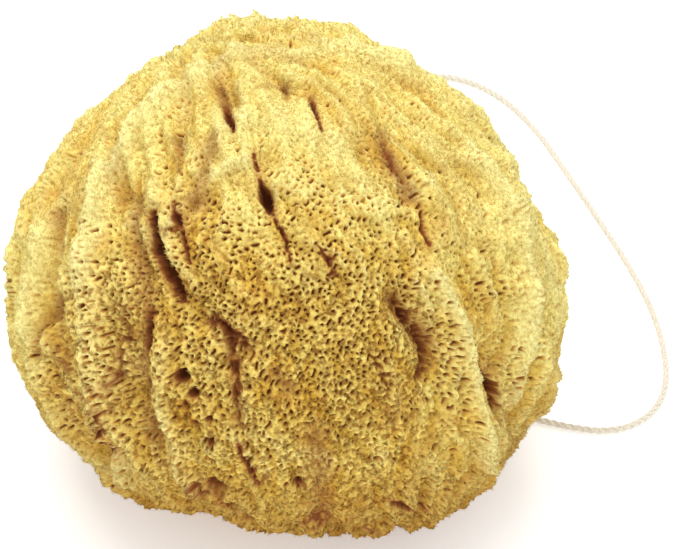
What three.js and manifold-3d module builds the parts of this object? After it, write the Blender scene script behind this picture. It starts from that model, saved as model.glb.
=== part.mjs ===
// A dried bath sponge with a loop of cotton string to hang it by.
// Millimetres, +Z up. The front of the sponge faces -Y, its right side is +X,
// and the origin is the middle of the flat base where it was cut from the rock.

import * as THREE from 'three'
import { mergeVertices } from 'three/addons/utils/BufferGeometryUtils.js'
import Module from 'manifold-3d'

const wasm = await Module()
wasm.setup()

// Driving dimensions of the sponge.
const HALF_WIDTH = 68.5
const HALF_DEPTH = 65.5
const HALF_HEIGHT = 63
const CENTRE_HEIGHT = 54.5
const BALL_DETAIL = 18

// Driving dimensions of the string.
const STRING_DIAMETER = 1.8
const STRING_SIDES = 8
const STRING_STEPS = 72
const SOCKET_GAP = 0.3
const SOCKET_DEPTH = 11
const SOCKET_SIDES = 12

// A direction on the sponge, seen from its middle: degrees round from the front
// towards the right, and degrees up.
function towards(round, up) {
  const roundAngle = THREE.MathUtils.degToRad(round)
  const upAngle = THREE.MathUtils.degToRad(up)
  return new THREE.Vector3(
    Math.sin(roundAngle) * Math.cos(upAngle),
    -Math.cos(roundAngle) * Math.cos(upAngle),
    Math.sin(upAngle),
  )
}

// Broad swellings and flats: how far each stands out, and how wide it is in degrees.
const SWELLS = [
  { middle: towards(52, -30), out: 8.5, width: 30 },
  { middle: towards(-100, 10), out: -2, width: 30 },
  { middle: towards(-34, -42), out: 1, width: 24 },
  { middle: towards(112, 20), out: -5.5, width: 25 },
  { middle: towards(-124, 30), out: -4, width: 26 },
  { middle: towards(88, 4), out: 2, width: 22 },
  { middle: towards(150, 42), out: -2.5, width: 30 },
  { middle: towards(4, 30), out: 2, width: 34 },
  { middle: towards(-160, -8), out: 4, width: 30 },
  { middle: towards(150, -34), out: 3, width: 24 },
]

// Single folds, each a crest (out above 0) or a valley (out below 0) along a line.
const FOLDS = [
  { line: [towards(-95, 60), towards(-74, 47), towards(-57, 32), towards(-37, -1)], out: 2.6, width: 5 },
  { line: [towards(-66, 56), towards(-42, 38), towards(-33, 20), towards(-29, 2)], out: -3, width: 6 },
  { line: [towards(-70, 31), towards(-52, 14), towards(-38, -14)], out: -3, width: 5.5 },
  { line: [towards(-28, 27), towards(-26, 14), towards(-23, -10)], out: 2, width: 4.5 },
  { line: [towards(42, 36), towards(44, 16), towards(48, -24)], out: 2.4, width: 4.5 },
  { line: [towards(47, 13), towards(61, -20)], out: -3.5, width: 5 },
  { line: [towards(106, 35), towards(72, 30), towards(62, 13), towards(67, -14)], out: 2.4, width: 5 },
  { line: [towards(69, 44), towards(54, 26)], out: -2.2, width: 6 },
  { line: [towards(-20, 36), towards(-6, 29)], out: -3.5, width: 4.5 },
  { line: [towards(33, 36), towards(33, 16)], out: -2.6, width: 6 },
]

// The sponge grew in folds that run round it from pole to pole of one leaning axis.
const FOLD_AXIS = new THREE.Vector3(-0.34, 0.46, 0.82).normalize()
const FOLD_COUNT = 17
const FOLD_HEIGHT = 1.3
const FOLD_WANDER = 1.1
const foldSide = new THREE.Vector3(1, 0, 0).cross(FOLD_AXIS).normalize()
const foldFront = FOLD_AXIS.clone().cross(foldSide)

// The string's middle line, from where it leaves the right of the sponge, round the
// loop that lies on the table behind, and back into the sponge.
const STRING_LIE = STRING_DIAMETER / 2 + 0.1
const STRING_ROUTE = [
  [42.5, 2.5, 8.8],
  [47, 2.3, 7.6],
  [51.5, 2, 5.8],
  [56, 1.2, 3.5],
  [60, 0.2, 1.7],
  [64.5, -1.3, STRING_LIE],
  [69, -2.8, STRING_LIE],
  [74, -4.2, STRING_LIE],
  [81.5, -5.4, STRING_LIE],
  [89, -3.8, STRING_LIE],
  [95.5, 1.6, STRING_LIE],
  [99.3, 11, STRING_LIE],
  [99.6, 24, STRING_LIE],
  [97, 40, STRING_LIE],
  [91.5, 57, STRING_LIE],
  [84.6, 74, STRING_LIE],
  [77, 92, STRING_LIE],
  [69.5, 108.5, STRING_LIE],
  [61, 121.5, STRING_LIE],
  [51, 129.8, STRING_LIE],
  [40.5, 132.5, STRING_LIE],
  [29.5, 130, STRING_LIE],
  [20, 122.5, STRING_LIE],
  [13, 110, STRING_LIE],
  [9, 95, STRING_LIE],
  [7.2, 81, STRING_LIE],
  [6.4, 69, STRING_LIE],
  [6.1, 62.5, STRING_LIE],
  [6, 57.5, 1.8],
  [5.9, 53, 3.7],
  [5.8, 48.5, 5.9],
  [5.8, 44, 7.7],
  [5.8, 39.5, 8.9],
]

// Turns a closed three.js geometry into a manifold solid.
function solidOf(geometry) {
  const bare = geometry.index ? geometry.clone() : geometry
  bare.deleteAttribute('normal')
  bare.deleteAttribute('uv')
  const merged = mergeVertices(bare, 1e-4)
  return new wasm.Manifold(new wasm.Mesh({
    numProp: 3,
    vertProperties: new Float32Array(merged.attributes.position.array),
    triVerts: new Uint32Array(merged.index.array),
  }))
}

// Turns a manifold solid back into a three.js geometry.
function geometryOf(solid) {
  const mesh = solid.getMesh()
  const geometry = new THREE.BufferGeometry()
  geometry.setAttribute('position', new THREE.BufferAttribute(mesh.vertProperties, 3))
  geometry.setIndex(new THREE.BufferAttribute(mesh.triVerts, 1))
  geometry.computeVertexNormals()
  return geometry
}

// How far a direction is from a line of directions, in radians.
function angleFromLine(direction, line) {
  let nearest = Infinity
  for (let i = 0; i + 1 < line.length; i += 1) {
    const span = new THREE.Line3(line[i], line[i + 1])
    const foot = span.closestPointToPoint(direction, true, new THREE.Vector3())
    nearest = Math.min(nearest, direction.distanceTo(foot.normalize()))
  }
  return nearest
}

// A smooth hump: 1 in the middle, falling to nothing past its width.
function hump(distance, width) {
  return Math.exp(-((distance / width) ** 2))
}

// The even rise and fall of the many small folds.
function ripple(direction) {
  const along = direction.dot(FOLD_AXIS)
  const round = Math.atan2(direction.dot(foldSide), direction.dot(foldFront))
  const wander = FOLD_WANDER * (Math.sin(2 * round + 4 * along) + Math.sin(3 * round - 2.5 * along))
  const fade = 1 - along ** 4
  return FOLD_HEIGHT * fade * Math.sin(FOLD_COUNT * round + wander)
}

// How far the sponge's skin is from its middle in a direction.
function reach(direction) {
  const round = Math.hypot(direction.x / HALF_WIDTH, direction.y / HALF_DEPTH, direction.z / HALF_HEIGHT)
  const plain = 1 / round
  let out = ripple(direction)
  for (const swell of SWELLS) {
    out += swell.out * hump(direction.angleTo(swell.middle), THREE.MathUtils.degToRad(swell.width))
  }
  for (const fold of FOLDS) {
    out += fold.out * hump(plain * angleFromLine(direction, fold.line), fold.width)
  }
  return plain + out
}

// The whole round growth, before it is cut from the rock.
function growth() {
  const ball = new THREE.IcosahedronGeometry(1, BALL_DETAIL)
  const place = ball.attributes.position
  const direction = new THREE.Vector3()
  for (let i = 0; i < place.count; i += 1) {
    direction.fromBufferAttribute(place, i).normalize()
    const far = reach(direction)
    place.setXYZ(i, direction.x * far, direction.y * far, direction.z * far + CENTRE_HEIGHT)
  }
  return ball
}

// The hole that one end of the string goes into, from outside the skin to its blind end.
function socket(outer, inner) {
  const from = new THREE.Vector3(...outer)
  const to = new THREE.Vector3(...inner)
  const inwards = to.clone().sub(from).normalize()
  const end = to.clone().addScaledVector(inwards, SOCKET_GAP)
  const start = end.clone().addScaledVector(inwards, -SOCKET_DEPTH)
  const outline = []
  for (let i = 0; i < SOCKET_SIDES; i += 1) {
    const angle = (2 * Math.PI * i) / SOCKET_SIDES
    const radius = STRING_DIAMETER / 2 + SOCKET_GAP
    outline.push(new THREE.Vector2(radius * Math.cos(angle), radius * Math.sin(angle)))
  }
  return new THREE.ExtrudeGeometry(new THREE.Shape(outline), {
    steps: 1,
    extrudePath: new THREE.LineCurve3(start, end),
  })
}

// The sponge: the growth with its foot cut off flat and the string's two holes.
function spongeBody() {
  const deep = 4 * HALF_HEIGHT
  const rock = new THREE.BoxGeometry(deep, deep, deep)
  rock.translate(0, 0, -deep / 2)
  const last = STRING_ROUTE.length - 1
  const whole = growth()
  whole.computeBoundingBox()
  const middle = whole.boundingBox.getCenter(new THREE.Vector3())
  whole.translate(-middle.x, -middle.y, 0)
  return geometryOf(
    solidOf(whole)
      .subtract(solidOf(rock))
      .subtract(solidOf(socket(STRING_ROUTE[1], STRING_ROUTE[0])))
      .subtract(solidOf(socket(STRING_ROUTE[last - 1], STRING_ROUTE[last]))),
  )
}

// The loop of string, as a plain tube along its route.
function hangingString() {
  const route = new THREE.CatmullRomCurve3(STRING_ROUTE.map((point) => new THREE.Vector3(...point)))
  const outline = []
  for (let i = 0; i < STRING_SIDES; i += 1) {
    const angle = (2 * Math.PI * (i + 0.5)) / STRING_SIDES
    const radius = STRING_DIAMETER / 2
    outline.push(new THREE.Vector2(radius * Math.cos(angle), radius * Math.sin(angle)))
  }
  return new THREE.ExtrudeGeometry(new THREE.Shape(outline), {
    steps: STRING_STEPS,
    extrudePath: route,
  })
}

const spongeFinish = new THREE.MeshStandardMaterial({ color: 0xd9b45e, roughness: 0.95, metalness: 0 })
const stringFinish = new THREE.MeshStandardMaterial({ color: 0xe9e2cf, roughness: 0.9, metalness: 0 })

const body = new THREE.Mesh(spongeBody(), spongeFinish)
body.name = 'sponge_body'

const string = new THREE.Mesh(hangingString(), stringFinish)
string.name = 'hanging_string'

const sponge = new THREE.Group()
sponge.add(body, string)

export default sponge
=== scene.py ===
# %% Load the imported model
import bpy
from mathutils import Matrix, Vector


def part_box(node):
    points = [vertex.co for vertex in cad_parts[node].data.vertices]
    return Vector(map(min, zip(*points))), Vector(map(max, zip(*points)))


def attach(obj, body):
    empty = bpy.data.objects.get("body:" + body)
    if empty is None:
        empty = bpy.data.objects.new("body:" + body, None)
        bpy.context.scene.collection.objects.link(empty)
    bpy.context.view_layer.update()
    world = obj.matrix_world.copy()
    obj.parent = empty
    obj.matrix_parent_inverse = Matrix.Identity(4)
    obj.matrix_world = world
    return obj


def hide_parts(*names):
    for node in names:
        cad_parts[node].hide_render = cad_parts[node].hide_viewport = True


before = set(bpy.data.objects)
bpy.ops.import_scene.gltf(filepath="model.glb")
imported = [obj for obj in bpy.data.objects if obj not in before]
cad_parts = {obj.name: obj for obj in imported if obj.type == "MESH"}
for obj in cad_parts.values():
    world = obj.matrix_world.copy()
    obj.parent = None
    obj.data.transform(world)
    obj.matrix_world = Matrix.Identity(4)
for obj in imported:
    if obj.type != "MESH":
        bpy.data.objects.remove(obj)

bpy.context.view_layer.update()

# %% [markdown]
# # A bath sponge with a loop of string
#
# The real thing is a dried sponge the size of two fists. It grew as one piece, in
# folds that spread from its crown like those of a purse, and its skin is a mat of short
# soft fibres with a pore about a millimetre wide every two millimetres or so.
# A length of twisted cotton string goes through it, so that it can be hung up.
#
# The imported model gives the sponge's plain outer shape and the string's route. This
# lesson puts the looks on both. Blender wants metres, so `mm` turns millimetres into
# metres. The lists of folds, cracks and holes, and the shaping that is worked out from
# them, keep to plain millimetres, so that the numbers stay easy to read.

# %% Tools of the trade
import math

import numpy as np
from mathutils import Vector, noise


def mm(size):
    """Millimetres in metres."""
    return size * 0.001


def take_only(piece):
    """Selects one piece, and nothing else, as a click on it would."""
    bpy.ops.object.select_all(action="DESELECT")
    piece.select_set(True)
    bpy.context.view_layer.objects.active = piece


def apply_modifiers(piece):
    """Makes every modifier on a piece part of its mesh."""
    take_only(piece)
    for modifier in list(piece.modifiers):
        bpy.ops.object.modifier_apply(modifier=modifier.name)


def count_triangles(piece):
    """How many triangles a piece's mesh would be cut into."""
    return sum(len(face.vertices) - 2 for face in piece.data.polygons)


SPONGE_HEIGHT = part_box("sponge_body")[1][2]
print("The sponge is", round(SPONGE_HEIGHT * 1000), "mm high")

# %% [markdown]
# ## The camera
#
# A product shot looks down on a sponge from the front, far enough away that nearer
# parts don't look swollen. A long lens from nine tenths of a metre does that. The
# sponge sits left of the middle of the frame, because the loop needs room on the right.

# %% Camera
CAMERA_RISE = math.radians(45)
CAMERA_REACH = 0.9
CAMERA_LENS = 190
AIM = Vector((mm(13.6), 0, mm(53)))

bpy.ops.object.camera_add()
camera = bpy.context.object
camera.name = "camera"
camera.data.lens = CAMERA_LENS
camera.location = AIM + CAMERA_REACH * Vector((0, -math.cos(CAMERA_RISE), math.sin(CAMERA_RISE)))
camera.rotation_euler = (math.pi / 2 - CAMERA_RISE, 0, 0)
bpy.context.scene.camera = camera
bpy.context.scene.view_settings.view_transform = "Standard"
print("Camera at", tuple(round(value, 3) for value in camera.location))

# %% [markdown]
# ## The string
#
# Cheap hanging string is two or three cotton plies twisted together. A plain tube
# would look like plastic, so each ply is made. In Blender a Screw modifier twists a
# ring of little circles as it drags them along, which is just what a rope-walk does.
# The straight twisted length is then bent along its route by a Curve modifier.
#
# The route is a list of given points: out of the right of the sponge, down to
# the table, round the loop, and back into the sponge from behind.

# %% The string's route
STRING_DIAMETER = mm(1.8)
STRING_LIE = 1.0
STRING_POINTS = [
    (42.5, 2.5, 8.8), (47, 2.3, 7.6), (51.5, 2, 5.8), (56, 1.2, 3.5), (60, 0.2, 1.7),
    (64.5, -1.3, STRING_LIE), (69, -2.8, STRING_LIE), (74, -4.2, STRING_LIE),
    (81.5, -5.4, STRING_LIE), (89, -3.8, STRING_LIE), (95.5, 1.6, STRING_LIE),
    (99.3, 11, STRING_LIE), (99.6, 24, STRING_LIE), (97, 40, STRING_LIE),
    (91.5, 57, STRING_LIE), (84.6, 74, STRING_LIE), (77, 92, STRING_LIE),
    (69.5, 108.5, STRING_LIE), (61, 121.5, STRING_LIE), (51, 129.8, STRING_LIE),
    (40.5, 132.5, STRING_LIE), (29.5, 130, STRING_LIE), (20, 122.5, STRING_LIE),
    (13, 110, STRING_LIE), (9, 95, STRING_LIE), (7.2, 81, STRING_LIE),
    (6.4, 69, STRING_LIE), (6.1, 62.5, STRING_LIE), (6, 57.5, 1.8), (5.9, 53, 3.7),
    (5.8, 48.5, 5.9), (5.8, 44, 7.7), (5.8, 39.5, 8.9),
]
STEPS_BETWEEN_POINTS = 6


def smooth_route(points, steps):
    """Points on a smooth curve through all the given ones, by the Catmull-Rom rule."""
    ends = [2 * points[0] - points[1], *points, 2 * points[-1] - points[-2]]
    route = []
    for a, b, c, d in zip(ends, ends[1:], ends[2:], ends[3:]):
        for step in range(steps):
            t = step / steps
            route.append(0.5 * (2 * b + (c - a) * t + (2 * a - 5 * b + 4 * c - d) * t ** 2
                                + (3 * b - a - 3 * c + d) * t ** 3))
    return [*route, points[-1]]


string_route = smooth_route([Vector(point) * mm(1) for point in STRING_POINTS],
                            STEPS_BETWEEN_POINTS)
STRING_LENGTH = sum((b - a).length for a, b in zip(string_route, string_route[1:]))
print("The string is", round(STRING_LENGTH * 1000), "mm long")

# %% [markdown]
# ## Twisting the string
#
# The plies start as three small rings of points round the middle of the string. Each
# ring of points ends up as one ply when the Screw modifier has turned it. The bending
# comes last, because a straight length is much easier to twist evenly.

# %% Twist the plies and lay the string
PLY_COUNT = 3
PLY_RADIUS = mm(0.46)
PLY_RING = STRING_DIAMETER / 2 - PLY_RADIUS
PLY_SIDES = 7
TWIST_PITCH = mm(6.5)
RINGS_PER_TURN = 14

for ply in range(PLY_COUNT):
    angle = 2 * math.pi * ply / PLY_COUNT
    bpy.ops.mesh.primitive_circle_add(
        vertices=PLY_SIDES, radius=PLY_RADIUS, fill_type="NOTHING",
        location=(0, PLY_RING * math.cos(angle), PLY_RING * math.sin(angle)),
        rotation=(0, math.pi / 2, 0))
    if ply == 0:
        string = bpy.context.object
        bpy.ops.object.transform_apply(location=True, rotation=True, scale=True)
    else:
        bpy.ops.object.transform_apply(location=True, rotation=True, scale=True)
        bpy.context.object.name = "ply"
        bpy.context.object.select_set(True)
        string.select_set(True)
        bpy.context.view_layer.objects.active = string
        bpy.ops.object.join()
string.name = "twisted_string"

turns = STRING_LENGTH / TWIST_PITCH
screw = string.modifiers.new("twist", "SCREW")
screw.axis = "X"
screw.angle = 2 * math.pi * turns
screw.screw_offset = STRING_LENGTH
screw.steps = int(turns * RINGS_PER_TURN)
screw.render_steps = screw.steps
screw.use_merge_vertices = False
apply_modifiers(string)

bpy.ops.object.select_all(action="DESELECT")
route_data = bpy.data.curves.new("string_route", "CURVE")
route_data.dimensions = "3D"
route_line = route_data.splines.new("POLY")
route_line.points.add(len(string_route) - 1)
for point, place in zip(route_line.points, string_route):
    point.co = (*place, 1)
route_curve = bpy.data.objects.new("string_route", route_data)
bpy.context.collection.objects.link(route_curve)
bend = string.modifiers.new("lay", "CURVE")
bend.object = route_curve
bend.deform_axis = "POS_X"
apply_modifiers(string)
bpy.data.objects.remove(route_curve)

take_only(string)
bpy.ops.object.mode_set(mode="EDIT")
bpy.ops.mesh.select_all(action="SELECT")
bpy.ops.mesh.fill_holes(sides=PLY_SIDES)
bpy.ops.mesh.normals_make_consistent(inside=False)
bpy.ops.object.mode_set(mode="OBJECT")
bpy.ops.object.shade_smooth()
print("The string has", count_triangles(string), "triangles")

# %% [markdown]
# ## The sponge's plain shape
#
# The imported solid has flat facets. A copy of it, with its doubled points merged and
# one round of subdivision, is the smooth form that the skin is laid on.

# %% A smooth form to lay the skin on
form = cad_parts["sponge_body"].copy()
form.data = form.data.copy()
form.name = "form"
bpy.context.collection.objects.link(form)
take_only(form)
bpy.ops.object.mode_set(mode="EDIT")
bpy.ops.mesh.select_all(action="SELECT")
bpy.ops.mesh.remove_doubles(threshold=mm(0.01))
bpy.ops.object.mode_set(mode="OBJECT")
soften = form.modifiers.new("soften", "SUBSURF")
soften.levels = 1
soften.render_levels = 1
apply_modifiers(form)
print("Form:", count_triangles(form), "triangles")

# %% [markdown]
# ## A net fine enough for the pores
#
# The pores are about a millimetre wide, so the skin needs points closer than that all
# over. An ico sphere has them most evenly. Its points are shaken a little and thinned
# out by a Decimate modifier, because pores keep to no pattern. A Shrinkwrap modifier
# then draws the ball in until it lies on the form.

# %% Lay a fine net on the form
SPONGE_MIDDLE = Vector((0, 0, mm(54.5)))
BALL_RADIUS = mm(100)
SHAKE = mm(0.3)
KEPT_SHARE = 0.607

bpy.ops.object.select_all(action="DESELECT")
bpy.ops.mesh.primitive_ico_sphere_add(subdivisions=8, radius=BALL_RADIUS, location=SPONGE_MIDDLE)
skin = bpy.context.object
skin.name = "sponge_skin"
bpy.ops.object.transform_apply(location=True, rotation=True, scale=True)
bpy.ops.object.mode_set(mode="EDIT")
bpy.ops.mesh.select_all(action="SELECT")
bpy.ops.transform.vertex_random(offset=SHAKE, uniform=1, normal=0, seed=5)
bpy.ops.object.mode_set(mode="OBJECT")
for point in skin.data.vertices:
    point.co = SPONGE_MIDDLE + (point.co - SPONGE_MIDDLE).normalized() * BALL_RADIUS
thin_out = skin.modifiers.new("thin_out", "DECIMATE")
thin_out.ratio = KEPT_SHARE
draw_in = skin.modifiers.new("draw_in", "SHRINKWRAP")
draw_in.target = form
draw_in.wrap_method = "PROJECT"
draw_in.use_negative_direction = True
draw_in.use_positive_direction = False
apply_modifiers(skin)
print("Net:", len(skin.data.vertices), "points,", count_triangles(skin), "triangles")

# %% [markdown]
# ## Folds, cracks and large holes
#
# The main folds, the cracks and the few large holes are what makes this sponge this one,
# so they are placed one by one. A place on the sponge is a direction from its middle:
# degrees round from the front towards the right, and degrees up. The many lesser folds
# are random, and are given only a width, a length and a height.

# %% Places of the folds, cracks and holes
def towards(round_angle, up_angle):
    """A direction from the sponge's middle: degrees round from the front, degrees up."""
    turn, rise = math.radians(round_angle), math.radians(up_angle)
    return np.array([math.sin(turn) * math.cos(rise), -math.cos(turn) * math.cos(rise),
                     math.sin(rise)])


# Each crack has a line, its half width and its depth, in mm.
CRACKS = [
    ([towards(-66, 76), towards(-37, 73)], 0.8, 2.6),
    ([towards(64, 83), towards(46, 81), towards(33, 74)], 0.7, 2.6),
    ([towards(-20, 71), towards(-12, 65)], 0.45, 1.2),
    ([towards(-11, 64), towards(-7, 61), towards(-4, 57)], 1.15, 4),
    ([towards(-4, 57), towards(1, 52), towards(3, 46)], 0.42, 1.2),
    ([towards(-39, 52), towards(-33, 49)], 0.7, 1.6),
    ([towards(-33, 49), towards(-27, 43)], 0.45, 1.0),
    ([towards(-46, 49), towards(-36, 42), towards(-26, 35)], 1.6, 4.2),
    ([towards(11, 50), towards(14, 46), towards(14, 43)], 0.4, 1.0),
    ([towards(17, 48), towards(14, 45)], 0.3, 0.8),
    ([towards(52, 49), towards(48, 45), towards(45, 39)], 0.45, 1.4),
    ([towards(47, 10), towards(50, 1), towards(49, -9)], 1.0, 4),
    ([towards(-45, 13), towards(-39, 6), towards(-41, -16)], 0.8, 1.5),
    ([towards(-16, 33), towards(-12, 31)], 0.5, 1.0),
    ([towards(-33, 30), towards(-30, 22)], 0.8, 2.0),
    ([towards(-29, 18), towards(-28, 6)], 0.8, 2.0),
    ([towards(-9, 6), towards(-5, -5)], 0.5, 2),
    ([towards(22, -14), towards(34, -25)], 0.7, 1.5),
    ([towards(168, 42), towards(186, 24)], 1.6, 6),
    ([towards(-142, 22), towards(-130, 0)], 1.4, 5),
    ([towards(118, 12), towards(129, -12)], 1.5, 5),
    ([towards(-102, 30), towards(-94, 8)], 1.2, 4),
    ([towards(150, -8), towards(158, -24)], 1.0, 3.5),
]
# Each large hole has its direction, its radius and its depth, in mm.
HOLES = [
    (towards(-22, 20), 1.8, 4), (towards(-19, 17), 1.4, 3), (towards(-20, 14), 1.2, 3),
    (towards(-18, 10), 1.2, 3), (towards(-15, 12), 1.1, 3), (towards(-15, 6), 1.4, 3),
    (towards(-15, 0), 1.0, 2.5), (towards(-14, -9), 2.4, 5), (towards(-21, -11), 1.3, 3),
    (towards(-12, -16), 1.8, 4), (towards(3, -6), 1.2, 3), (towards(175, 12), 2.6, 5),
    (towards(168, 6), 1.6, 3.5), (towards(182, 0), 1.9, 4), (towards(95, -12), 2.2, 4),
    (towards(101, -20), 1.5, 3.5), (towards(-120, -18), 2.4, 4.5), (towards(-112, -25), 1.5, 3.5),
    (towards(-150, 52), 2.0, 4),
]
# Each crest has a line, its half width and its height, in mm.
CRESTS = [
    ([towards(-140, 75), towards(-106, 71), towards(-86, 61), towards(-67, 45), towards(-57, 36),
      towards(-46, 23), towards(-39, 9), towards(-39, -18)], 2.2, 3.8),
    ([towards(-44, 77), towards(-42, 66)], 3.0, 2.0),
    ([towards(-27, 26), towards(-25, 14), towards(-22, -3), towards(-19, -12)], 1.4, 2.8),
    ([towards(-22, 68), towards(-34, 60), towards(-37, 50)], 1.6, 2.2),
    ([towards(42, 36), towards(43, 28), towards(43, 7), towards(44, -13)], 1.5, 3.6),
    ([towards(37, 36), towards(38, 29), towards(37, 25)], 0.9, 2.4),
    ([towards(85, 46), towards(72, 28), towards(64, 18), towards(58, 8), towards(55, -5)], 1.7, 4.0),
    ([towards(-7, 78), towards(35, 72), towards(39, 55)], 3.0, 1.2),
    ([towards(-147, 72), towards(164, 77), towards(141, 66), towards(124, 56)], 2.6, 2.4),
    ([towards(173, 59), towards(144, 64)], 2.0, 1.6),
    ([towards(-53, 53), towards(-38, 47), towards(-23, 38)], 1.4, 1.4),
    ([towards(-8, 26), towards(-8, 12)], 1.4, 1.4),
    ([towards(24, 22), towards(25, 13)], 1.3, 1.2),
    ([towards(-77, 34), towards(-68, 16), towards(-57, 1)], 3.0, 1.6),
    ([towards(112, 44), towards(84, 28), towards(76, 8), towards(72, -12)], 1.8, 2.0),
    ([towards(130, 60), towards(118, 30), towards(110, -5)], 2.4, 2.2),
    ([towards(-170, 50), towards(-160, 20), towards(-165, -20)], 2.4, 2.2),
    ([towards(150, 30), towards(146, 5), towards(140, -25)], 2.2, 2.0),
    ([towards(-132, 45), towards(-128, 15), towards(-120, -15)], 2.2, 2.0),
]
# Each valley has a line, its half width and its depth, in mm.
VALLEYS = [
    ([towards(-75, 31), towards(-66, 25), towards(-61, 16), towards(-60, 5)], 1.6, 3.0),
    ([towards(-56, 48), towards(-44, 40), towards(-33, 30), towards(-30, 11), towards(-28, 2)], 3.6, 2.6),
    ([towards(-45, 69), towards(-37, 62), towards(-35, 55)], 3.0, 2.2),
    ([towards(68, 66), towards(56, 59), towards(52, 51)], 2.2, 1.8),
    ([towards(30, 35), towards(33, 28), towards(36, 21), towards(33, 15)], 2.4, 3.0),
    ([towards(-64, 63), towards(-48, 59)], 1.5, 1.8),
    ([towards(-89, 85), towards(180, 88), towards(12, 85)], 1.5, 1.5),
    ([towards(-98, 75), towards(-70, 76)], 1.8, 1.5),
    ([towards(7, 9), towards(8, -22)], 5.0, 1.2),
    ([towards(-17, 33), towards(-12, 31), towards(-8, 28)], 1.8, 1.5),
    ([towards(-13, 29), towards(-10, 22), towards(-9, 10)], 1.6, 1.6),
    ([towards(-2, 24), towards(2, 20)], 2.2, 1.6),
    ([towards(-140, 40), towards(-135, 5)], 3.2, 2.4),
    ([towards(165, 35), towards(160, -5)], 3.2, 2.0),
    ([towards(100, 20), towards(96, -10)], 3.0, 2.2),
]
# Each brown patch, pitted and ragged and partly painted shade, has a line and its half width in mm.
PITTED = [
    ([towards(-40, 28), towards(-37, 18), towards(-38, 6), towards(-40, -8)], 3.2),
    ([towards(-18, 33), towards(-9, 29)], 2.2), ([towards(-12, 27), towards(-9, 16)], 1.6),
    ([towards(32, 31), towards(35, 22), towards(34, 15)], 2.4),
    ([towards(50, 7), towards(52, -8)], 2.2), ([towards(-55, 8), towards(-48, 0), towards(-44, -12)], 1.8),
    ([towards(14, 47), towards(15, 42)], 1.6), ([towards(-39, 53), towards(-36, 47)], 1.4),
    ([towards(-9, 6), towards(-5, -5)], 2.0), ([towards(-18, -10), towards(-8, -24)], 3.5),
    ([towards(4, -24), towards(26, -32)], 3.5), ([towards(22, 24), towards(24, 8)], 2.0),
    ([towards(168, 30), towards(160, 10)], 3.0), ([towards(-140, 20), towards(-132, -6)], 3.0),
    ([towards(100, 6), towards(96, -14)], 3.0),
]
# Broad lumps and flats: direction, half width and how far it stands out, in mm.
LUMPS = [
    (towards(-141, 38), 12, -4.6), (towards(-159, 43), 11, 2.0), (towards(-125, 30), 13, -3.8),
    (towards(-112, 20), 13, -7.0), (towards(-100, 10), 11, -4.4), (towards(-68, -20), 12, 2.6),
    (towards(-45, -17), 13, -1.6), (towards(-39, -38), 9, 1.8), (towards(-21, -43), 14, -5.2),
    (towards(0, -45), 12, -2.4), (towards(21, -43), 10, -1.2), (towards(39, -38), 11, 1.2),
    (towards(47, -22), 12, -1.4), (towards(68, -20), 11, 0.6), (towards(79, -10), 12, 1.4),
    (towards(90, 0), 12, 2.8), (towards(112, 21), 11, 0.4), (towards(125, 30), 10, 3.8),
    (towards(141, 38), 10, -4.2), (towards(159, 43), 9, 2.2),
]
# Where the pores are darkest: direction, half width on a ball of radius 1, and how dark.
POROUS = [
    (towards(8, 12), 0.50, 0.64), (towards(-35, 26), 0.28, 0.9), (towards(28, 26), 0.22, 0.8),
    (towards(2, -30), 0.55, 1.1), (towards(-38, 0), 0.3, 0.6),
    (towards(-6, 33), 0.40, 0.5), (towards(-13, 31), 0.13, 0.8), (towards(-38, 24), 0.20, 1.1),
    (towards(-42, 12), 0.18, 0.9), (towards(-50, 3), 0.16, 0.8), (towards(34, 24), 0.12, 0.6),
    (towards(6, -12), 0.30, 0.5), (towards(-10, -32), 0.30, 0.6), (towards(22, -34), 0.30, 0.6),
    (towards(53, 2), 0.12, 0.5), (towards(-150, 5), 0.45, 0.8), (towards(125, -5), 0.40, 0.7),
]
# The plain front is calmer than the rest. Widths are on a ball of radius 1.
PLAIN_FRONT = towards(10, 22)
PLAIN_FRONT_WIDTH = 0.75
PLAIN_SLITS_WIDTH = 0.7
PLAIN_FRONT_CALM = 0.75
# The random folds spread from this axis. Their sizes are in mm.
FOLD_AXIS = np.array([-0.34, 0.46, 0.82])
FOLD_AXIS /= np.linalg.norm(FOLD_AXIS)
FOLD_WIDTH = 9
FOLD_LENGTH = 34
FOLD_HEIGHT = 3.5
FOLD_MIDDLE = 0.35
FOLD_SHARPNESS = 2.6
FAN_RADIUS = 60
FAN_WANDER = 0.16
FAN_WANDER_SIZE = 24
# Random lumps all over, and the roughness that makes every outline ragged, in mm.
LUMP_SIZE = 9.0
LUMP_HEIGHT = 1.5
ROUGH_SIZE = 3.0
MOTTLE_SIZE = 1.4
PIT_DEPTH = 1.0
# How far the skin starts inside the plain shape, and where it rises free of the cut base.
INSET = 1.3
FOOT_START = 0.6
FOOT = 4.0
print(len(CRACKS), "cracks,", len(HOLES), "large holes,", len(CRESTS), "crests")


# %% [markdown]
# ## How the growth is worked out
#
# The random folds are noise laid on a fan, so that they spread from the crown and run
# down the sides, as the ones on a real sponge do. The placed crests, valleys, cracks,
# pitted patches and holes are added to them, each as a hump or a dip with soft sides.
# Their outlines are ragged, because nothing that grows has a ruled edge.

# %% Small tools for shaping
chance = np.random.default_rng(5)


def points_of(piece):
    """A piece's points in mm."""
    places = np.zeros(len(piece.data.vertices) * 3)
    piece.data.vertices.foreach_get("co", places)
    return places.reshape(-1, 3) * 1000


def move_points(piece, places):
    """Puts a piece's points at places in mm."""
    piece.data.vertices.foreach_set("co", (places / 1000).ravel())
    piece.data.update()


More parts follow.
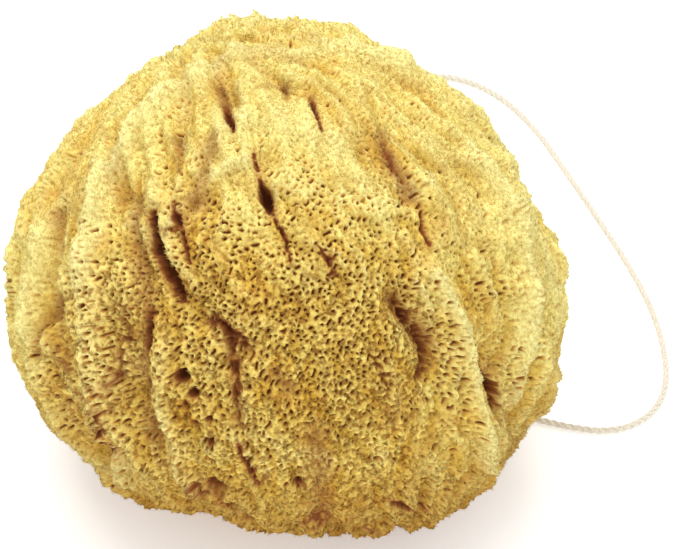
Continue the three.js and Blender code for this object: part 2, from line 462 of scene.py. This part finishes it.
def distance_to_line(directions, line):
    """How far each direction is from a line on the ball, and how far along it (0 to 1)."""
    nearest = np.full(len(directions), np.inf)
    along = np.zeros(len(directions))
    stretches = len(line) - 1
    for index, (a, b) in enumerate(zip(line, line[1:])):
        span = b - a
        t = np.clip((directions - a) @ span / (span @ span), 0, 1)
        foot = a + t[:, None] * span
        foot /= np.linalg.norm(foot, axis=1)[:, None]
        gap = np.linalg.norm(directions - foot, axis=1)
        closer = gap < nearest
        nearest[closer] = gap[closer]
        along[closer] = ((index + t) / stretches)[closer]
    return nearest, along


def hump(distance, width, sharpness=2):
    """1 in the middle, falling to nothing past the width."""
    return np.exp(-np.abs(distance / width) ** sharpness)


def rumple(points, size, offset):
    """Smooth random values, about -1 to 1, over lumps of a size in mm. The offset moves
    the noise along, so that two uses of it don't come out alike."""
    start = Vector((offset, 0, 0))
    return np.array([noise.noise(Vector(point) / size + start) for point in points])


def rise_from_foot(places):
    """0 on the cut base, rising to 1 a little above it, for points in mm."""
    return np.clip((places[:, 2] - FOOT_START) / FOOT, 0, 1)


# %% [markdown]
# ## How far the flesh moves
#
# One function reads all those lists. For any points, it works out how far the flesh
# moves in or out, how deep in a crack each point is, and how much of a crest it is on.
# The pores, the nap and the colours use the last two values again.

# %% How far the flesh moves
def fanned_out(places):
    """Places on a fan that spreads from the fold axis, so that what is random there comes
    out long, and narrower towards the top."""
    arms = places - np.array(SPONGE_MIDDLE) * 1000
    along = arms @ FOLD_AXIS
    sideways = arms - along[:, None] * FOLD_AXIS
    wander = FAN_WANDER * rumple(places, FAN_WANDER_SIZE, 60)
    sideways += wander[:, None] * np.cross(FOLD_AXIS, sideways)
    spread = np.linalg.norm(sideways, axis=1)[:, None] + 4
    return FAN_RADIUS * sideways / spread + (along * FOLD_WIDTH / FOLD_LENGTH)[:, None] * FOLD_AXIS


def growth_at(places):
    """For points in mm: directions, how far out the flesh moves, how deep in a crack each
    point is, and how much of a crest it is on."""
    arms = places - np.array(SPONGE_MIDDLE) * 1000
    reach = np.linalg.norm(arms, axis=1)
    directions = arms / reach[:, None]
    ragged = rumple(places, ROUGH_SIZE, 9)
    lumps = rumple(places, LUMP_SIZE, 21)
    plain = hump(np.linalg.norm(directions - PLAIN_FRONT, axis=1), PLAIN_FRONT_WIDTH, 4)
    strength = 1 - PLAIN_FRONT_CALM * plain
    swell = rumple(fanned_out(places), FOLD_WIDTH, 3) + 0.1 * lumps
    wave = np.clip(1 - FOLD_SHARPNESS * np.abs(swell), 0, 1)
    out = FOLD_HEIGHT * strength * (wave - FOLD_MIDDLE) + LUMP_HEIGHT * lumps - INSET
    out += 0.8 * rumple(places, 4.2, 33) + 0.4 * rumple(places, 2.2, 40)
    # Painted highlight: the crest value makes the tops of the folds paler in the shader.
    crest = 0.55 * strength * wave ** 2
    # Painted shade: the deep value browns the fold valleys in the shader.
    deep = 0.26 * strength * (1 - wave) ** 2
    for direction, width, height in LUMPS:
        out += height * hump(np.linalg.norm(directions - direction, axis=1) * reach, width)
    for line, width, height in CRESTS:
        gap, _ = distance_to_line(directions, line)
        shape = hump(gap * reach, width * (1 + 0.35 * ragged), 1.6)
        out += height * shape
        # Painted highlight along each placed crest.
        crest += min(1, 0.33 * height) * shape
    for line, width, depth in VALLEYS:
        gap, _ = distance_to_line(directions, line)
        shape = hump(gap * reach, width * (1 + 0.3 * ragged))
        out -= depth * shape
        # Painted shade along each valley.
        deep += 0.4 * shape
        crest -= 0.5 * shape
    for line, width, depth in CRACKS:
        gap, along = distance_to_line(directions, line)
        taper = 0.3 + 0.8 * np.sin(math.pi * np.clip(along, 0, 1))
        shape = hump(gap * reach, width * taper * (1 + 0.5 * ragged), 4)
        out += 0.5 * hump(gap * reach - 2 * width, 0.9 * width) - depth * taper * shape
        # The crack is painted brown, darkening to painted shade in its depth and round its edge.
        deep += min(1.1, 0.3 + 0.3 * depth) * shape + 0.2 * hump(gap * reach, 2.2 * width)
    mottle = np.clip(0.5 + 2.2 * rumple(places, MOTTLE_SIZE, 70), 0, 1)
    for line, width in PITTED:
        gap, _ = distance_to_line(directions, line)
        shape = mottle * hump(gap * reach, width * (1 + 0.4 * ragged))
        out -= PIT_DEPTH * shape
        # The pitted patch is painted brown, partly painted shade.
        deep += 0.58 * shape
    for direction, radius, depth in HOLES:
        gap = np.linalg.norm(directions - direction, axis=1) * reach
        shape = hump(gap, radius * (1 + 0.25 * ragged), 4)
        out += 0.4 * hump(gap - 1.7 * radius, 0.6 * radius) - depth * shape
        # Painted shade in the hole.
        deep += 1.2 * shape
    return directions, out * rise_from_foot(places), np.clip(deep, 0, 1), np.clip(crest, 0, 1)


def keep_values(piece, name, values, kind="FLOAT"):
    """Keeps a value on each point of a piece, for geometry nodes and shaders to read."""
    attribute = piece.data.attributes.new(name, kind, "POINT")
    key = "value" if kind == "FLOAT" else "vector"
    attribute.data.foreach_set(key, np.asarray(values, dtype=np.float32).ravel())


# %% [markdown]
# ## Choosing the pores
#
# A pore is one point of the net pushed in, or a few in a row where it is a slit. Points
# are tried in a random order. Each has its own likelihood of becoming a pore, and none
# may become one beside another. That spreads them evenly and with little pattern. The
# wide dark pores come first and the faint ones fill in between.

# %% Choose the pores
SECOND_STEP_SHARE = 0.4
STRAIGHT_ENOUGH = 0.75


def neighbours_of(piece):
    """For each point, the list of points that an edge joins it to."""
    ends = np.zeros(len(piece.data.edges) * 2, dtype=np.int64)
    piece.data.edges.foreach_get("vertices", ends)
    ends = ends.reshape(-1, 2)
    both = np.concatenate((ends, ends[:, ::-1]))
    both = both[np.argsort(both[:, 0], kind="stable")]
    cuts = np.searchsorted(both[:, 0], np.arange(1, len(piece.data.vertices)))
    return [row.tolist() for row in np.split(both[:, 1], cuts)]


def choose_pores(around, places, flow, likelihood, slit_share, strength, pore, beside):
    """Marks points as pores, with a strength each, and their neighbours as beside one."""
    luck = chance.random((len(places), 3))
    for seed in chance.permutation(len(places)).tolist():
        if beside[seed] or pore[seed] or luck[seed, 0] > likelihood[seed]:
            continue
        members = [seed]
        pore[seed] = strength[seed]
        further = SECOND_STEP_SHARE * slit_share[seed]
        steps = int(luck[seed, 1] < slit_share[seed]) + int(luck[seed, 2] < further)
        for _ in range(steps):
            head = members[-1]
            options = [point for point in around[head] if not beside[point] and not pore[point]]
            if not options:
                break
            spans = places[options] - places[head]
            fit = np.abs(spans @ flow[seed]) / np.linalg.norm(spans, axis=1)
            best = int(np.argmax(fit))
            if fit[best] < STRAIGHT_ENOUGH:
                break
            pore[options[best]] = strength[seed]
            members.append(options[best])
        for member in members:
            for point in around[member]:
                beside[point] = 1


BASE_TOP = 0.5
LOW_TOP = 40
BROAD_PATCH_SIZE = 14
CRACK_FLOOR = 0.8
WIDE_PORE_SHARE = 0.24
WIDE_PORE_SHARE_LOW = 0.2
FAINT_PORE_SHARE = 0.8

net = points_of(skin)
directions, out, deep, crest = growth_at(net)
# The slits lie across the folds, and turn partly along them on the plain front.
across = np.cross(FOLD_AXIS, directions)
across /= np.linalg.norm(across, axis=1)[:, None] + 1e-6
lengthwise = np.cross(directions, across)
plainness = hump(np.linalg.norm(directions - PLAIN_FRONT, axis=1), PLAIN_SLITS_WIDTH, 4)
swirl = 0.7 * plainness + 0.9 * rumple(net, BROAD_PATCH_SIZE, 120)
flow = np.cos(swirl)[:, None] * across + np.sin(swirl)[:, None] * lengthwise

porous = 0.25 + 0.3 * rumple(net, BROAD_PATCH_SIZE, 80)
for direction, width, amount in POROUS:
    porous += amount * hump(np.linalg.norm(directions - direction, axis=1), width)
porous = np.clip(porous - 0.5 * crest + 0.3 * deep, 0, 1)
blotch = np.clip(1 + 1.9 * rumple(net, 3.2, 95), 0.25, 1.6)
open_flesh = (net[:, 2] > BASE_TOP) * (deep < CRACK_FLOOR)
streak = np.clip(0.5 + 1.1 * rumple(fanned_out(net), 2.2, 140), 0, 1)
low = np.clip(1 - net[:, 2] / LOW_TOP, 0, 1)
around = neighbours_of(skin)
in_pore = np.zeros(len(net))
beside = bytearray(len(net))
likely = (WIDE_PORE_SHARE + WIDE_PORE_SHARE_LOW * low) * blotch * porous ** 1.5 * open_flesh
slits = 0.25 - 0.15 * (1 - plainness)
choose_pores(around, net, flow, likely, slits, 0.7 + 0.3 * chance.random(len(net)), in_pore, beside)
wide_pores = int((in_pore > 0).sum())
choose_pores(around, net, flow, FAINT_PORE_SHARE * open_flesh, 0.3 - 0.1 * (1 - plainness),
             (0.26 + 0.46 * porous * blotch) * (0.5 + 0.9 * chance.random(len(net))), in_pore, beside)
print("Points in wide pores:", wide_pores, "and in faint ones:", int((in_pore > 0).sum()) - wide_pores)

# %% [markdown]
# ## Carving the skin
#
# Every point now moves along its own direction from the middle. Folds and cracks move
# it by some millimetres, a wide pore pushes it in by nearly two, and the points between the
# pores stand out by uneven amounts, in strands that follow the folds. The values that
# decided all this stay on the mesh for the nap and for the colours.

# %% Carve the skin
PORE_DEPTH = 1.75
CONULE_HEIGHT = 1.0
STRAND_HEIGHT = 0.7

bare = in_pore == 0
grain = np.clip(0.5 + 0.9 * rumple(net, 1.3, 150), 0, 1)
tip = np.clip(0.7 * chance.random(len(net)) ** 2 + 0.5 * grain, 0, 1) * bare
relief = CONULE_HEIGHT * (tip - 0.4) * bare * (0.5 + 0.5 * porous) - PORE_DEPTH * in_pore
relief += STRAND_HEIGHT * (streak - 0.5)
carved = net + directions * (out + relief * rise_from_foot(net))[:, None]
move_points(skin, carved)
keep_values(skin, "pore", in_pore)
keep_values(skin, "porous", porous)
keep_values(skin, "deep", deep)
keep_values(skin, "crest", crest)
keep_values(skin, "tip", tip)
keep_values(skin, "streak", streak)
keep_values(skin, "comb", lengthwise, "FLOAT_VECTOR")
take_only(skin)
bpy.ops.object.shade_smooth()
print("Skin from", round(carved[:, 2].min(), 2), "to", round(carved[:, 2].max(), 2), "mm high")


# %% [markdown]
# ## Tools for the nap
#
# Geometry nodes are joined up by script here, so a few short functions save writing the
# same lines again: one joins two sockets, one starts a tree, and one reads a kept value.

# %% Helpers for geometry nodes
def join(tree, source, target):
    """Joins an output socket to an input socket."""
    tree.links.new(source, target)


def new_geometry_tree(name):
    """A geometry node tree with its way in and its way out."""
    tree = bpy.data.node_groups.new(name, "GeometryNodeTree")
    tree.interface.new_socket("Geometry", in_out="INPUT", socket_type="NodeSocketGeometry")
    tree.interface.new_socket("Geometry", in_out="OUTPUT", socket_type="NodeSocketGeometry")
    return tree, tree.nodes.new("NodeGroupInput").outputs[0], tree.nodes.new("NodeGroupOutput").inputs[0]


def named_field(tree, name, kind="FLOAT"):
    """A value kept on the mesh, as geometry nodes read it."""
    field = tree.nodes.new("GeometryNodeInputNamedAttribute")
    field.data_type = kind
    field.inputs["Name"].default_value = name
    return field.outputs["Attribute"]


def edit_faces(piece, chosen):
    """Goes into edit mode with only the chosen faces selected."""
    take_only(piece)
    bpy.ops.object.mode_set(mode="EDIT")
    bpy.ops.mesh.select_mode(type="FACE")
    bpy.ops.object.mode_set(mode="OBJECT")
    piece.data.polygons.foreach_set("select", chosen)
    bpy.ops.object.mode_set(mode="EDIT")


# %% [markdown]
# ## A nap of fibres
#
# Between the pores the skin is a mat of short soft fibres, pale at the tips. One fibre
# is modelled as a closed three-sided spike. Geometry nodes scatter copies of it over
# the flesh, stand each on the skin, lean it over at random and make it real mesh.

# %% One fibre
FIBRE_LENGTH = mm(1.1)
FIBRE_RADIUS = mm(0.12)
FIBRE_ROOT = mm(0.2)

bpy.ops.object.select_all(action="DESELECT")
bpy.ops.mesh.primitive_cone_add(vertices=3, radius1=FIBRE_RADIUS, radius2=0, depth=FIBRE_LENGTH,
                                location=(0, 0, 0.5 * FIBRE_LENGTH - FIBRE_ROOT), end_fill_type="NGON")
fibre = bpy.context.object
fibre.name = "fibre"
bpy.ops.object.transform_apply(location=True, rotation=True, scale=True)
keep_values(fibre, "tip", [1.0 if point.co.z > 0 else 0.3 for point in fibre.data.vertices])
bpy.ops.object.shade_smooth()
print("A fibre has", count_triangles(fibre), "triangles")


# %% [markdown]
# ## Sowing the nap
#
# The nap is sown in four patches, because one mesh of all the fibres would be too heavy
# to handle. None grow in a wide pore or a deep crack or on the cut base, and fewer grow
# where the flesh is most porous. On real sponges the nap lies along the folds, so each fibre is
# turned to face that way first and then leaned over by a random amount.

# %% A sower of fibres
def nap_sower(name, density, seed):
    """Geometry nodes that lay copies of the fibre along the folds of a piece of skin."""
    tree, start, end = new_geometry_tree(name)
    scatter = tree.nodes.new("GeometryNodeDistributePointsOnFaces")
    scatter.distribute_method = "RANDOM"
    scatter.inputs["Density"].default_value = density
    scatter.inputs["Seed"].default_value = seed
    model = tree.nodes.new("GeometryNodeObjectInfo")
    model.inputs["Object"].default_value = fibre
    model.inputs["As Instance"].default_value = True
    stand = tree.nodes.new("FunctionNodeAlignRotationToVector")
    stand.axis = "Z"
    face = tree.nodes.new("FunctionNodeAlignRotationToVector")
    face.axis = "X"
    face.pivot_axis = "Z"
    tilt = tree.nodes.new("FunctionNodeRandomValue")
    tilt.data_type = "FLOAT_VECTOR"
    tilt.inputs[0].default_value = (-0.4, 0.3, -0.8)
    tilt.inputs[1].default_value = (0.4, 1.35, 0.8)
    tilt.inputs["Seed"].default_value = seed + 1
    lean = tree.nodes.new("FunctionNodeRotateRotation")
    lean.rotation_space = "LOCAL"
    size = tree.nodes.new("FunctionNodeRandomValue")
    size.data_type = "FLOAT_VECTOR"
    size.inputs[0].default_value = (0.6, 0.6, 0.5)
    size.inputs[1].default_value = (1.3, 1.3, 1.3)
    size.inputs["Seed"].default_value = seed + 2
    plant = tree.nodes.new("GeometryNodeInstanceOnPoints")
    real = tree.nodes.new("GeometryNodeRealizeInstances")
    join(tree, start, scatter.inputs["Mesh"])
    join(tree, scatter.outputs["Points"], plant.inputs["Points"])
    join(tree, model.outputs["Geometry"], plant.inputs["Instance"])
    join(tree, scatter.outputs["Normal"], stand.inputs["Vector"])
    join(tree, stand.outputs[0], face.inputs["Rotation"])
    join(tree, named_field(tree, "comb", "FLOAT_VECTOR"), face.inputs["Vector"])
    join(tree, face.outputs[0], lean.inputs["Rotation"])
    join(tree, tilt.outputs[0], lean.inputs["Rotate By"])
    join(tree, lean.outputs[0], plant.inputs["Rotation"])
    join(tree, size.outputs[0], plant.inputs["Scale"])
    join(tree, plant.outputs[0], real.inputs[0])
    join(tree, real.outputs[0], end)
    return tree


def patch_of_skin(name, wanted):
    """A copy of the skin with only the wanted faces, to sow fibres on."""
    take_only(skin)
    bpy.ops.object.duplicate()
    patch = bpy.context.object
    patch.name = name
    edit_faces(patch, ~wanted)
    bpy.ops.mesh.delete(type="FACE")
    bpy.ops.object.mode_set(mode="OBJECT")
    return patch


def face_values(piece, values):
    """The largest of a value at the corners of each face."""
    corners = np.zeros(len(piece.data.loops), dtype=np.int32)
    piece.data.loops.foreach_get("vertex_index", corners)
    starts = np.zeros(len(piece.data.polygons), dtype=np.int32)
    piece.data.polygons.foreach_get("loop_start", starts)
    return np.maximum.reduceat(values[corners], starts)


# %% [markdown]
# ## The four patches
#
# The crown is parted from the rest by a level plane, and the front and the back from the
# sides by upright ones. The divisions don't show, because the nap is alike on both sides.

# %% Sow the nap
CROWN_HEIGHT = 90
FRONT_DEPTH = -26
BACK_DEPTH = 26
NAP_FROM = 1.8
NAP_PORE_LIMIT = 0.42
NAP_DEEP_LIMIT = 0.7
NAP_THINNING = 0.45
FIBRES_PER_SQUARE_METRE = 3.8e6

centres = np.zeros(len(skin.data.polygons) * 3)
skin.data.polygons.foreach_get("center", centres)
centres = centres.reshape(-1, 3) * 1000
flesh = (face_values(skin, in_pore) < NAP_PORE_LIMIT) & (face_values(skin, deep) < NAP_DEEP_LIMIT)
flesh &= centres[:, 2] > NAP_FROM
flesh &= chance.random(len(flesh)) > NAP_THINNING * face_values(skin, porous)
crown = centres[:, 2] > CROWN_HEIGHT
front = ~crown & (centres[:, 1] < FRONT_DEPTH)
back = ~crown & (centres[:, 1] > BACK_DEPTH)
nap = []
for seed, (name, region) in enumerate((("nap_crown", crown), ("nap_front", front),
                                       ("nap_back", back), ("nap_sides", ~crown & ~front & ~back))):
    patch = patch_of_skin(name, flesh & region)
    sow = patch.modifiers.new("sow", "NODES")
    sow.node_group = nap_sower(name, FIBRES_PER_SQUARE_METRE, 10 * seed)
    apply_modifiers(patch)
    nap.append(patch)
    print(name, count_triangles(patch), "triangles")
bpy.data.objects.remove(fibre)
bpy.data.objects.remove(form)


# %% [markdown]
# ## Finishes
#
# The sponge's fibre is a matt golden yellow, paler at the tips of the fibres. The crests
# get a painted highlight, the pores and cracks are brown, darkening to painted shade
# where they are deep, and the fold valleys and the foot get painted shade. The shader
# mixes those colours by the values that were kept on the points, and adds patches of
# noise, so that no two square centimetres are the same.

# %% Helpers for finishes
def new_material(name):
    """A material, its node tree and its shader."""
    material = bpy.data.materials.new(name)
    material.use_nodes = True
    tree = material.node_tree
    return material, tree, tree.nodes["Principled BSDF"]


def in_millimetres(tree):
    """Object coordinates in millimetres."""
    coordinates = tree.nodes.new("ShaderNodeTexCoord")
    scale = tree.nodes.new("ShaderNodeVectorMath")
    scale.operation = "SCALE"
    scale.inputs["Scale"].default_value = 1000
    join(tree, coordinates.outputs["Object"], scale.inputs[0])
    return scale.outputs[0]


def cloud(tree, place, size, detail=2):
    """Soft random patches of a size in mm."""
    texture = tree.nodes.new("ShaderNodeTexNoise")
    texture.inputs["Scale"].default_value = 1 / size
    texture.inputs["Detail"].default_value = detail
    join(tree, place, texture.inputs["Vector"])
    return texture.outputs["Fac"]


def ramp(tree, source, stops):
    """Colours laid out along a value from 0 to 1."""
    colours = tree.nodes.new("ShaderNodeValToRGB")
    join(tree, source, colours.inputs["Fac"])
    points = colours.color_ramp.elements
    points[0].position, points[0].color = stops[0][0], (*stops[0][1], 1)
    points[1].position, points[1].color = stops[-1][0], (*stops[-1][1], 1)
    for position, colour in stops[1:-1]:
        point = points.new(position)
        point.color = (*colour, 1)
    return colours.outputs["Color"]


def blend_colours(tree, amount, first, second, kind="MIX"):
    """One colour over another, by an amount from 0 to 1."""
    mix = tree.nodes.new("ShaderNodeMix")
    mix.data_type = "RGBA"
    mix.blend_type = kind
    if isinstance(amount, float):
        mix.inputs["Factor"].default_value = amount
    else:
        join(tree, amount, mix.inputs["Factor"])
    for socket, colour in ((mix.inputs[6], first), (mix.inputs[7], second)):
        if isinstance(colour, tuple):
            socket.default_value = (*colour, 1)
        else:
            join(tree, colour, socket)
    return mix.outputs[2]


def kept_value(tree, name):
    """A value kept on the mesh's points, as a shader reads it."""
    attribute = tree.nodes.new("ShaderNodeAttribute")
    attribute.attribute_name = name
    return attribute.outputs["Fac"]


def grey(value):
    """A grey, for a ramp that is used as an amount."""
    return (value, value, value)


# %% [markdown]
# ## The sponge's finish
#
# Both the skin and the nap use the same recipe, so that they read as one material. The
# colours go on in layers, from the flesh outwards: strands, crests with a painted
# highlight, gaps, painted shade at the foot, fine streaks, then the brown of the pores
# and last the red-brown of the cracks, both darkening to painted shade where deep. The
# fibres scatter light softly, which is what a little sheen and almost no gloss give.

# %% Sponge finish
STRAW = (0.96, 0.88, 0.38)
PALE_GOLD = (0.93, 0.81, 0.26)
GOLD = (0.91, 0.71, 0.18)
AMBER = (0.62, 0.34, 0.07)
PORE_BROWN_SHADE = (0.15, 0.042, 0.012)
CRACK_TAN = (0.44, 0.20, 0.055)
CRACK_BROWN = (0.27, 0.09, 0.024)
# Near black: painted shade at the bottom of the cracks.
CRACK_DEEP_SHADE = (0.09, 0.022, 0.007)
SHEEN_TINT = (1.0, 0.9, 0.55, 1)
# Painted shade: the colour darkens towards the foot, up to this height in mm.
FOOT_SHADE_TOP = 54


def height_share(tree, top):
    """0 at the base, rising to 1 at a height in mm."""
    apart = tree.nodes.new("ShaderNodeSeparateXYZ")
    share = tree.nodes.new("ShaderNodeMapRange")
    share.inputs["From Max"].default_value = top
    join(tree, in_millimetres(tree), apart.inputs[0])
    join(tree, apart.outputs["Z"], share.inputs["Value"])
    return share.outputs["Result"]


def sponge_finish(name, sheen):
    """Matt fibre: pale tips, gold between, amber round the pores, brown and painted shade in them and in
    the cracks, a painted highlight on the crests and painted shade at the foot.
    """
    material, tree, shader = new_material(name)
    place = in_millimetres(tree)
    broad = cloud(tree, place, 17, 3)
    fuzz = cloud(tree, place, 0.9, 4)
    roots = ramp(tree, broad, [(0.35, AMBER), (0.6, GOLD)])
    tips = ramp(tree, broad, [(0.3, GOLD), (0.5, PALE_GOLD), (0.7, STRAW)])
    strands = ramp(tree, kept_value(tree, "streak"), [(0.15, (0.82, 0.68, 0.40)), (0.6, grey(1))])
    tips = blend_colours(tree, 1.0, tips, strands, "MULTIPLY")
    reach = ramp(tree, kept_value(tree, "tip"), [(0.05, grey(0.25)), (0.6, grey(1))])
    flesh = blend_colours(tree, reach, roots, tips)
    # Painted highlight: the crests are mixed towards pale straw.
    flesh = blend_colours(tree, kept_value(tree, "crest"), flesh, STRAW)
    shade = ramp(tree, kept_value(tree, "porous"), [(0.3, grey(1)), (1, (0.98, 0.90, 0.74))])
    flesh = blend_colours(tree, 1.0, flesh, shade, "MULTIPLY")
    gaps = ramp(tree, cloud(tree, place, 1.5, 3), [(0.37, (0.28, 0.14, 0.05)), (0.52, grey(1))])
    spread = ramp(tree, kept_value(tree, "porous"), [(0.45, grey(0.1)), (1, grey(0.8))])
    flesh = blend_colours(tree, spread, flesh, blend_colours(tree, 1.0, flesh, gaps, "MULTIPLY"))
    # Painted shade: darker and browner towards the bottom of the sponge.
    foot = ramp(tree, height_share(tree, FOOT_SHADE_TOP), [(0.1, (0.52, 0.33, 0.13)), (1, grey(1))])
    flesh = blend_colours(tree, 1.0, flesh, foot, "MULTIPLY")
    streaks = ramp(tree, fuzz, [(0.35, (0.66, 0.54, 0.36)), (0.56, grey(1))])
    flesh = blend_colours(tree, 0.5, flesh, streaks, "MULTIPLY")
    # Pores are painted amber, then brown in their mouths: partly the flesh's own brown, partly painted
    # shade.
    rim = ramp(tree, kept_value(tree, "pore"), [(0.08, grey(0)), (0.4, grey(0.9))])
    flesh = blend_colours(tree, rim, flesh, AMBER)
    mouth = ramp(tree, kept_value(tree, "pore"), [(0.3, grey(0)), (0.7, grey(1))])
    flesh = blend_colours(tree, mouth, flesh, PORE_BROWN_SHADE)
    # The flesh's own brown in cracks, holes and pitted patches, darkening to painted shade where deep, and
    # painted shade in the valleys.
    sunk = ramp(tree, kept_value(tree, "deep"), [(0.15, grey(0)), (0.6, grey(1))])
    brown_and_shade_of_depths = ramp(tree, kept_value(tree, "deep"), [(0.3, CRACK_TAN), (0.6, CRACK_BROWN), (1, CRACK_DEEP_SHADE)])
    flesh = blend_colours(tree, sunk, flesh, brown_and_shade_of_depths)
    join(tree, flesh, shader.inputs["Base Color"])
    shader.inputs["Roughness"].default_value = 0.95
    shader.inputs["Specular IOR Level"].default_value = 0.05
    shader.inputs["Sheen Weight"].default_value = sheen
    shader.inputs["Sheen Roughness"].default_value = 0.5
    shader.inputs["Sheen Tint"].default_value = SHEEN_TINT
    bump = tree.nodes.new("ShaderNodeBump")
    bump.inputs["Strength"].default_value = 0.6
    bump.inputs["Distance"].default_value = mm(0.25)
    join(tree, fuzz, bump.inputs["Height"])
    join(tree, bump.outputs[0], shader.inputs["Normal"])
    return material


skin.data.materials.append(sponge_finish("sponge_flesh", 0.03))
fibre_nap = sponge_finish("fibre_nap", 0.05)
for patch in nap:
    patch.data.materials.clear()
    patch.data.materials.append(fibre_nap)


# %% [markdown]
# ## The string's finish
#
# Cotton is off-white and quite matt. Fine noise gives it the fluff that takes the hard
# edge off each ply.

# %% String finish
def string_finish():
    """Matt off-white cotton with a little fluff."""
    material, tree, shader = new_material("cotton_string")
    fluff = cloud(tree, in_millimetres(tree), 0.35, 3)
    cotton = ramp(tree, fluff, [(0.3, (0.60, 0.54, 0.42)), (0.65, (0.86, 0.81, 0.70))])
    join(tree, cotton, shader.inputs["Base Color"])
    shader.inputs["Roughness"].default_value = 0.9
    shader.inputs["Sheen Weight"].default_value = 0.2
    bump = tree.nodes.new("ShaderNodeBump")
    bump.inputs["Strength"].default_value = 0.5
    bump.inputs["Distance"].default_value = mm(0.1)
    join(tree, fluff, bump.inputs["Height"])
    join(tree, bump.outputs[0], shader.inputs["Normal"])
    return material


string.data.materials.append(string_finish())

# %% [markdown]
# ## Floor and light
#
# A white sweep and very soft light from above, as for a catalogue.

# %% Floor and light
FLOOR_SIDE = 6.0
FLOOR_DROP = mm(0.1)
FLOOR_GLOW = 0.3
SKY_STRENGTH = 0.80

bpy.ops.object.select_all(action="DESELECT")
bpy.ops.mesh.primitive_plane_add(size=FLOOR_SIDE, location=(0, 0, -FLOOR_DROP))
floor = bpy.context.object
floor.name = "floor"
floor_white, _, floor_shader = new_material("floor_white")
floor_shader.inputs["Base Color"].default_value = (0.93, 0.93, 0.93, 1)
floor_shader.inputs["Roughness"].default_value = 0.9
floor_shader.inputs["Emission Color"].default_value = (1, 1, 1, 1)
floor_shader.inputs["Emission Strength"].default_value = FLOOR_GLOW
floor.data.materials.append(floor_white)

world = bpy.data.worlds.new("studio")
bpy.context.scene.world = world
world.use_nodes = True
background = world.node_tree.nodes["Background"]
background.inputs["Color"].default_value = (1, 1, 1, 1)
background.inputs["Strength"].default_value = SKY_STRENGTH


def softbox(name, place, side, power):
    """A square soft light that faces the sponge."""
    bpy.ops.object.light_add(type="AREA", location=place)
    light = bpy.context.object
    light.name = name
    light.data.shape = "SQUARE"
    light.data.size = side
    light.data.energy = power
    light.rotation_euler = (SPONGE_MIDDLE - light.location).to_track_quat("-Z", "Y").to_euler()


softbox("overhead", (-0.1, 0.3, 1.1), 1.0, 9.8)
softbox("front_fill", (0.2, -1.3, 0.9), 1.2, 3)

# %% [markdown]
# ## Handing over
#
# Nothing on a sponge moves apart from the rest, so every piece rides on the one body.
# The skin and the nap together stand in for the plain solid, and the twisted string for
# the plain tube.

# %% Hand over
for piece in (skin, *nap):
    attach(piece, "root")
    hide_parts("sponge_body")
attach(string, "root")
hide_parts("hanging_string")

bpy.context.view_layer.update()
